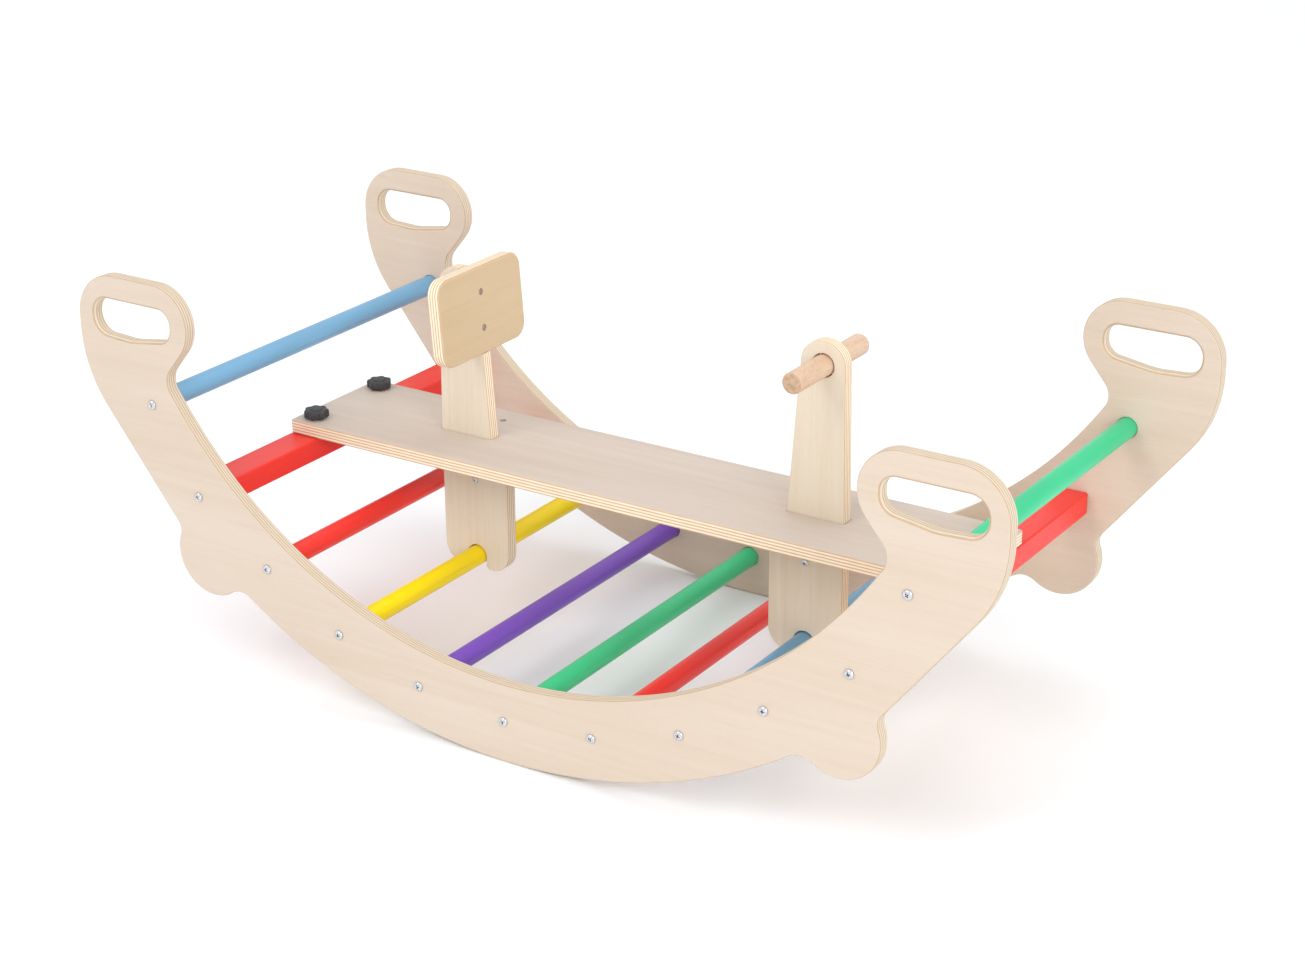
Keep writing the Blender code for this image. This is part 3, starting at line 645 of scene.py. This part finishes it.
# ---------------------------------------------------------------- rungs and flat bars
PAINTS = {
    "sky": paint("sky_paint", SKY),
    "red": paint("red_paint", RED),
    "yellow": paint("yellow_paint", YELLOW),
    "purple": paint("purple_paint", PURPLE),
    "green": paint("green_paint", GREEN),
    "mint": paint("mint_paint", MINT),
}
FLAT = Matrix.Rotation(math.radians(-90), 4, "X")  # a rod's or bar's own Z laid along the object's Y
for node in RUNG_NODES:
    low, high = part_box(node)
    spot = (low + high) / 2
    rung = rod(node + "_painted", RUNG_R, low.y, high.y, RUNG_SOFT)
    rung.matrix_world = Matrix.Translation((spot.x, 0, spot.z)) @ FLAT
    stand_for(rung, node, PAINTS[SLOT_OF[node]])

for node in ("bar_rear", "bar_front"):
    low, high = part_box(node)
    spot = (low + high) / 2
    across, tall = (high.x - low.x) / 2, (high.z - low.z) / 2
    outline = oblong(-across, across, -tall, tall, BAR_CORNER_R)
    bar = slab(node + "_painted", outline, [], low.y, high.y, BAR_END_SOFT, "z", steps=3)
    bar.matrix_world = Matrix.Translation((spot.x, 0, spot.z)) @ FLAT
    stand_for(bar, node, PAINTS["red"])

# ---------------------------------------------------------------- screws
ZINC = zinc("zinc_plate", BRIGHT_PLATE, 0.32)
# a darker, rougher copy of the zinc for the flat heads: the darker colour is painted shade
PAINTED_SHADE_ZINC = zinc("zinc_plate_painted_shade", PAINTED_SHADE_PLATE, 0.45)


def cross_cutter(arm, slot, top, depth):
    """Tapered plus-shaped plug that leaves a cross recess."""
    bm = bmesh.new()
    rings = []
    for height, a, s in ((top + 0.001, arm * 1.08, slot * 1.15), (top - depth, arm * 0.30, slot * 0.55)):
        shape = [(a, -s), (a, s), (s, s), (s, a), (-s, a), (-s, s), (-a, s), (-a, -s), (-s, -s), (-s, -a),
                 (s, -a), (s, -s)]
        rings.append([bm.verts.new((x, y, height)) for x, y in shape])
    for i in range(12):
        j = (i + 1) % 12
        bm.faces.new((rings[0][i], rings[0][j], rings[1][j], rings[1][i]))
    bm.faces.new(rings[0])
    bm.faces.new(rings[1])
    return finish_mesh("cutter", bm)


def screw_mesh(kind, head_r, head_h, shank_r, length, metal):
    """A cross-recess screw on its own Z, point down. A pan head's underside or a flat head's top is at 0."""
    if kind == "pan":
        dome = [(head_r * math.sin(t), head_h * (0.30 + 0.70 * math.cos(t)))
                for t in [math.pi / 2 * k / 9 for k in range(10)]]
        profile = [(0, head_h)] + dome[1:]
        profile += [(head_r * 0.985, head_h * 0.06), (head_r * 0.93, 0.0), (shank_r, 0.0)]
        top = head_h
    else:
        profile = [(0, 0), (head_r - 0.0002, 0), (head_r, -0.0002), (shank_r, -head_h)]
        top = 0.0
    profile += [(shank_r, -length + 0.004), (0, -length)]
    screw = turned("screw", profile, 40, 30)
    arm = head_r * 0.56
    subtract(screw, cross_cutter(arm, arm * 0.24, top, head_r * 0.62), 30)
    mesh = screw.data
    mesh.materials.clear()
    mesh.materials.append(metal)
    bpy.data.objects.remove(screw, do_unlink=True)
    return mesh


def place_screw(mesh, node, spot, way, turn):
    """The screw takes the node's place at spot, its head facing way and turned about it."""
    name = node.replace("screw", "zinc_screw")
    screw = bpy.data.objects.new(name, mesh)
    bpy.context.scene.collection.objects.link(screw)
    lean = Vector((0, 0, 1)).rotation_difference(Vector(way)).to_matrix().to_4x4()
    screw.matrix_world = Matrix.Translation(spot) @ lean @ Matrix.Rotation(turn, 4, "Z")
    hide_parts(node)
    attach(screw, BODY_OF[node])


PAN = screw_mesh("pan", 0.0040, 0.0024, 0.002, 0.028, ZINC)
for number, node in enumerate(sorted(n for n in BODY_OF if n.startswith("frame_screw_"))):
    low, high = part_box(node)
    spot = (low + high) / 2
    side = 1 if "_left_" in node else -1
    panel_low, panel_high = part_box("side_panel_left" if side > 0 else "side_panel_right")
    face = panel_high.y if side > 0 else panel_low.y
    place_screw(PAN, node, (spot.x, face + side * SCREW_OFF, spot.z), (0, side, 0), number * 1.9)

# ---------------------------------------------------------------- seat plank
plank_low, plank_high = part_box("seat_plank")
PLANK_TOP = plank_high.z
outline = oblong(plank_low.x, plank_high.x, plank_low.y, plank_high.y, PLANK_CORNER_R)
holes = []
for end in (-1, 1):
    near, far = sorted((end * (POST_IN - GAP), end * (POST_OUT + GAP)))
    holes.append(oblong(near, far, -SLOT_HALF, SLOT_HALF, 0.0005, math.radians(30)))
for number in (1, 2, 3, 4):
    spot = middle_of("stud_%d" % number)
    holes.append(arc((spot.x, spot.y), STUD_HOLE_R, 0.0, 2 * math.pi, math.radians(9))[:-1])
PLANK_SCREWS = {node: middle_of(node) for node in ("plank_screw_rear", "plank_screw_front")}
sinks = [(spot.x, spot.y, SINK_R, PLANK_SINK, 1) for spot in PLANK_SCREWS.values()]
plank = slab("plank", outline, holes, plank_low.z, plank_high.z, PLANK_SOFT, "z", sinks, steps=4)
stand_for(plank, "seat_plank", plywood("plank_plywood", "z", plank_low.z, plank_high.z, "x", (0.4, 2.2, 0),
                                       PLANK_FACE))


# ---------------------------------------------------------------- posts
def post_outline(top_out_r, top_in_r):
    """Post towards +X: foot notched over a rung, shoulder under the plank, tapered upper part."""
    x, z = rung_spot(2)
    under = PLANK_TOP - PLY_T - GAP
    rise = POST_TOP - PLANK_TOP
    top_out, top_in = POST_OUT - rise * TAPER_OUT, POST_IN + rise * TAPER_IN
    notch = arc((x, z), NOTCH_HALF, math.pi, 0.0, math.radians(8))
    left = rounded([(FOOT_IN, under, 0.0012), (FOOT_IN, FOOT_Z, FOOT_R),
                    (x - NOTCH_HALF, FOOT_Z, NOTCH_LIP_R), (x - NOTCH_HALF, under, 0)])[:-1]
    right = rounded([(x + NOTCH_HALF, under, 0), (x + NOTCH_HALF, FOOT_Z, NOTCH_LIP_R),
                     (POST_OUT, FOOT_Z, FOOT_R), (POST_OUT, under, 0)])[1:-1]
    upper = rounded([(POST_IN, under, 0), (POST_OUT, under, 0), (POST_OUT, PLANK_TOP, 0),
                     (top_out, POST_TOP, top_out_r), (top_in, POST_TOP, top_in_r),
                     (POST_IN, PLANK_TOP, 0)])[2:] + [(POST_IN, under)]
    return left + notch + right + upper


WOOD_POST = {}
for node, shift in (("handle_post", (1.3, 0, 2.9)), ("back_post", (4.6, 0, 0.7))):
    low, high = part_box(node)
    WOOD_POST[node] = plywood(node + "_plywood", "y", low.y, high.y, "z", shift, POST_FACE)

handlebar_mid = middle_of("handlebar")
post_low, post_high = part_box("handle_post")
outline = clean(post_outline(HANDLE_TOP_R, HANDLE_TOP_R))
bore = arc((handlebar_mid.x, handlebar_mid.z), HANDLE_BORE_R, 0.0, 2 * math.pi, math.radians(7.5))[:-1]
post = slab("post_handle", outline, [bore], post_low.y, post_high.y, HANDLE_POST_SOFT, "y", steps=4)
stand_for(post, "handle_post", WOOD_POST["handle_post"])

# the backrest is let into the post: its upper front is cut back by the board's thickness, with a shelf below
front_x = -(POST_IN + (BOARD_Z - PLANK_TOP) * TAPER_IN)
LEAN = Matrix.Translation((front_x, 0, BOARD_Z)) @ Matrix.Rotation(-BOARD_TILT, 4, "Y")
outline = [(-x, z) for x, z in post_outline(*BACK_TOP_R)]
if signed_area(outline) < 0:
    outline = outline[::-1]
shelf = LEAN @ Vector((0, 0, -BOARD_H / 2 - GAP))
back = LEAN @ Vector((-PLY_T - GAP, 0, 0))
front_way = LEAN.to_3x3() @ Vector((1, 0, 0))
up_way = LEAN.to_3x3() @ Vector((0, 0, 1))


def rebate(points):
    """Take the L-shaped corner in front of the board's back and above its shelf out of the outline."""
    shelf_p, back_p = Vector((shelf.x, shelf.z)), Vector((back.x, back.z))
    up, front = Vector((up_way.x, up_way.z)), Vector((front_way.x, front_way.z))
    inside = [(Vector(p) - shelf_p).dot(up) > 0 and (Vector(p) - back_p).dot(front) > 0 for p in points]
    count = len(points)
    first = next(i for i in range(count) if not inside[i] and inside[(i + 1) % count])
    ordered = [points[(first + 1 + i) % count] for i in range(count)]
    flags = [inside[(first + 1 + i) % count] for i in range(count)]
    run = flags.index(False)
    rest = ordered[run:]
    enter, leave = Vector(rest[-1]), Vector(rest[0])

    def cross_line(a, b, point, way):
        da, db = (a - point).dot(way), (b - point).dot(way)
        return a + (b - a) * (da / (da - db))

    a_in, b_out = Vector(ordered[0]), Vector(ordered[run - 1])

    def edge_point(outer, inner):
        if (outer - shelf_p).dot(up) <= 0:
            return cross_line(outer, inner, shelf_p, up)
        return cross_line(outer, inner, back_p, front)

    start, stop = edge_point(enter, a_in), edge_point(leave, b_out)
    # the inner corner of the rebate lies on both lines
    size = up.y * front.x - up.x * front.y
    rhs_up, rhs_front = shelf_p.dot(up), back_p.dot(front)
    corner = Vector(((rhs_front * up.y - rhs_up * front.y) / size,
                     (rhs_up * front.x - rhs_front * up.x) / size))
    return rest + [tuple(start), tuple(corner), tuple(stop)]


post_low, post_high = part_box("back_post")
outline = clean(rebate(outline))
post = slab("post_back", outline, [], post_low.y, post_high.y, BACK_POST_SOFT, "y", steps=4)
stand_for(post, "back_post", WOOD_POST["back_post"])

# ---------------------------------------------------------------- backrest board
outline = oblong(-BOARD_W / 2, BOARD_W / 2, -BOARD_H / 2, BOARD_H / 2, BOARD_R, math.radians(5))
BOARD_SCREWS = [("board_screw_lower", -0.016), ("board_screw_upper", 0.016)]
sinks = [(0.0, height, SINK_R, BOARD_SINK, 1) for _, height in BOARD_SCREWS]
board = slab("backrest", outline, [], -PLY_T, 0.0, BOARD_SOFT, "x", sinks, steps=5)
board.matrix_world = LEAN
stand_for(board, "back_board", plywood("backrest_plywood", "x", -PLY_T, 0.0, "y", (0, 1.9, 5.2), BOARD_FACE))
FLAT_HEAD = screw_mesh("flat", 0.0029, 0.0016, 0.0015, 0.030, PAINTED_SHADE_ZINC)
for node, height in BOARD_SCREWS:
    place_screw(FLAT_HEAD, node, LEAN @ Vector((-0.0006, 0, height)), front_way, 0.5 + height * 40)

# ---------------------------------------------------------------- handlebar and its lock screw
low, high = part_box("handlebar")
BEECH_BAR = solid_wood("beech_dowel", GRIP_BEECH, (high.y - low.y) / 2)
grip = rod("grip_bar", RUNG_R, low.y, high.y, GRIP_SOFT, 56)
grip.matrix_world = Matrix.Translation((handlebar_mid.x, 0, handlebar_mid.z)) @ FLAT
stand_for(grip, "handlebar", BEECH_BAR)
low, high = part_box("handlebar_lock_screw")
SMALL = screw_mesh("flat", 0.0015, 0.0012, 0.0011, 0.014, PAINTED_SHADE_ZINC)
place_screw(SMALL, "handlebar_lock_screw", (high.x, 0, (low.z + high.z) / 2), (1, 0, 0), 0.3)

# ---------------------------------------------------------------- blocks under the plank and their screws
for node in ("block_rear", "block_front"):
    low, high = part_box(node)
    spot = (low + high) / 2
    size = (high - low) / 2
    outline = oblong(-size.x, size.x, -size.z, size.z, BLOCK_CORNER_R)
    block = slab(node + "_beech", outline, [], -size.y, size.y, BLOCK_SOFT, "z", steps=3)
    block.matrix_world = Matrix.Translation(spot) @ Matrix.Rotation(math.radians(90), 4, "X")
    stand_for(block, node, solid_wood(node + "_wood", BLOCK_BEECH, size.y))
for node, spot in PLANK_SCREWS.items():
    place_screw(FLAT_HEAD, node, (spot.x, spot.y, PLANK_TOP - 0.0004), (0, 0, 1), 0.8)
SMALL_PAN = screw_mesh("pan", 0.0031, 0.0016, 0.002, 0.028, ZINC)
for node in ("post_screw_rear", "post_screw_front"):
    spot = middle_of(node)
    place_screw(SMALL_PAN, node, (spot.x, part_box("back_post")[0].y - SCREW_OFF, spot.z), (0, -1, 0), 0.35)


# ---------------------------------------------------------------- knobs, studs and inserts
def knob_shape(name):
    """Seven-lobed star knob on its own Z: foot, fluted grip with softened rims, dished top and round cap."""
    count = KNOB_LOBES * 16
    # (radius, height, depth of the lobes)
    foot = [(0.0, 0.0, 0.0), (0.0072, 0.0, 0.0), (0.0075, 0.0003, 0.0), (0.0075, 0.0011, 0.0)]
    grip = [(0.0096, 0.0011, 0.0008), (0.0101, 0.0013, 0.0009), (0.0103, 0.0018, 0.0010),
            (0.0104, 0.0040, 0.0010), (0.0103, 0.0068, 0.0010), (0.0100, 0.0076, 0.0009),
            (0.0094, 0.0080, 0.0007), (0.0082, 0.0081, 0.0003)]
    cap = [(0.0068, 0.0078, 0.0), (0.0060, 0.0078, 0.0), (0.0057, 0.0080, 0.0), (0.0056, 0.0084, 0.0),
           (0.0053, 0.0087, 0.0), (0.0040, 0.0088, 0.0), (0.0, 0.00875, 0.0)]
    bm = bmesh.new()
    rings = []
    for radius, height, lobe in foot + grip + cap:
        if radius == 0:
            rings.append([bm.verts.new((0, 0, height))])
            continue
        ring = []
        for i in range(count):
            angle = 2 * math.pi * i / count
            wave = math.cos(KNOB_LOBES * angle)
            reach = radius + lobe * (wave if wave > 0 else wave * 1.15)
            ring.append(bm.verts.new((reach * math.cos(angle), reach * math.sin(angle), height)))
        rings.append(ring)
    for a, b in zip(rings, rings[1:]):
        for i in range(count):
            j = (i + 1) % count
            corners = []
            for corner in (a[i % len(a)], a[j % len(a)], b[j % len(b)], b[i % len(b)]):
                if corner not in corners:
                    corners.append(corner)
            if len(corners) > 2:
                bm.faces.new(corners)
    return finish_mesh(name, bm, 50)


def stud_shape(name, low, high):
    """Threaded rod on its own Z with a 1 mm pitch; rows of points wind up it as the thread does."""
    pitch, around, per_turn = 0.001, 24, 4
    radii = (0.00250, 0.00275, 0.00295, 0.00275)
    rows = int((high - low) / pitch * per_turn) + per_turn * 2
    points, faces = [], []
    for row in range(rows):
        for i in range(around):
            angle = 2 * math.pi * i / around
            height = low - pitch + (row / per_turn + i / around) * pitch
            radius = radii[row % per_turn]
            points.append((radius * math.cos(angle), radius * math.sin(angle), min(max(height, low), high)))
    for row in range(rows - per_turn - 1):
        for i in range(around):
            here, above = row * around + i, (row + 1) * around + i
            if i < around - 1:
                faces.append((here, here + 1, above + 1, above))
            else:
                # the last column joins the first one a turn further up
                faces.append((here, (row + per_turn) * around, (row + per_turn + 1) * around, above))
    base = len(points)
    points += [(radii[0] * math.cos(2 * math.pi * i / around),
                radii[0] * math.sin(2 * math.pi * i / around), low) for i in range(around)]
    faces.append(tuple(base + around - 1 - i for i in range(around)))
    return make_object(name, points, faces)


PLASTIC = black_plastic()
BRASS = brass()
INSERT_PROFILE = [(0.0031, -0.0060), (0.0044, -0.0060), (0.0044, 0.0001), (0.0042, 0.00015),
                  (0.0033, 0.00015), (0.0031, 0.0), (0.0031, -0.0060)]
bar_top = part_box("bar_rear")[1].z
for number in range(1, 5):
    low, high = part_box("knob_%d" % number)
    spot = (low + high) / 2
    knob = knob_shape("star_knob_%d" % number)
    knob.matrix_world = Matrix.Translation((spot.x, spot.y, low.z)) @ Matrix.Rotation(0.55 * number, 4, "Z")
    stand_for(knob, "knob_%d" % number, PLASTIC)
    stud_low, stud_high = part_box("stud_%d" % number)
    stud = stud_shape("threaded_stud_%d" % number, stud_low.z - low.z, stud_high.z - low.z)
    stud.matrix_world = Matrix.Translation((spot.x, spot.y, low.z))
    stand_for(stud, "stud_%d" % number, ZINC)
    ring = turned("bar_insert_%d" % number, INSERT_PROFILE, 40)
    ring.matrix_world = Matrix.Translation((spot.x, spot.y, bar_top))
    ring.data.materials.append(BRASS)
    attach(ring, "frame")

# ---------------------------------------------------------------- floor, light and camera
FLOOR_DROP = 0.0002
PAPER = (0.925, 0.95, 0.972, 1)
bpy.ops.mesh.primitive_plane_add(size=30, location=(0, 0, -FLOOR_DROP))
floor = bpy.context.object
floor.name = "studio_floor"
matte = Surface("studio_paper", roughness=0.9)
matte.shader.inputs["Base Color"].default_value = PAPER
floor.data.materials.append(matte.material)

world = bpy.data.worlds.new("studio")
bpy.context.scene.world = world
world.use_nodes = True
sky = world.node_tree.nodes["Background"]
sky.inputs["Color"].default_value = (1.0, 1.0, 1.0, 1)
sky.inputs["Strength"].default_value = 0.95


def area_light(name, spot, aim, size, power):
    """A round soft light at spot, turned towards aim."""
    lamp = bpy.data.lights.new(name, "AREA")
    lamp.shape = "DISK"
    lamp.size = size
    lamp.energy = power
    obj = bpy.data.objects.new(name, lamp)
    bpy.context.scene.collection.objects.link(obj)
    obj.location = spot
    obj.rotation_mode = "QUATERNION"
    obj.rotation_quaternion = (Vector(aim) - Vector(spot)).to_track_quat("-Z", "Y")


area_light("key", (-1.9, -4.6, 4.4), (0, 0, 0.15), 3.0, 90)
area_light("top", (0.3, 0.8, 3.4), (0, 0, 0.1), 2.4, 11)
area_light("side", (2.9, -2.0, 1.7), (0, 0, 0.2), 1.8, 48)

bpy.context.scene.view_settings.view_transform = "Standard"
bpy.context.scene.view_settings.look = "None"

# the camera turns about the upright axis, looks down and rolls by these angles, and looks at AIM
TURN, DROP, ROLL = 0.57274, 0.39211, -0.00413
AIM, DISTANCE, LENS = Vector((0.0150, 0.0, 0.1728)), 2.2014, 72.02
ahead = Vector((-math.sin(TURN) * math.cos(DROP), math.cos(TURN) * math.cos(DROP), -math.sin(DROP)))
right = Vector((math.cos(TURN), math.sin(TURN), 0))
up = right.cross(ahead)
level_right = right * math.cos(ROLL) + up * math.sin(ROLL)
level_up = up * math.cos(ROLL) - right * math.sin(ROLL)
camera = bpy.data.objects.new("camera", bpy.data.cameras.new("camera"))
bpy.context.scene.collection.objects.link(camera)
camera.data.lens = LENS
camera.data.sensor_width = 36
camera.data.clip_start, camera.data.clip_end = 0.05, 100
turn = Matrix((level_right, level_up, -ahead)).transposed().to_4x4()
camera.matrix_world = Matrix.Translation(AIM - ahead * DISTANCE) @ turn
bpy.context.scene.camera = camera
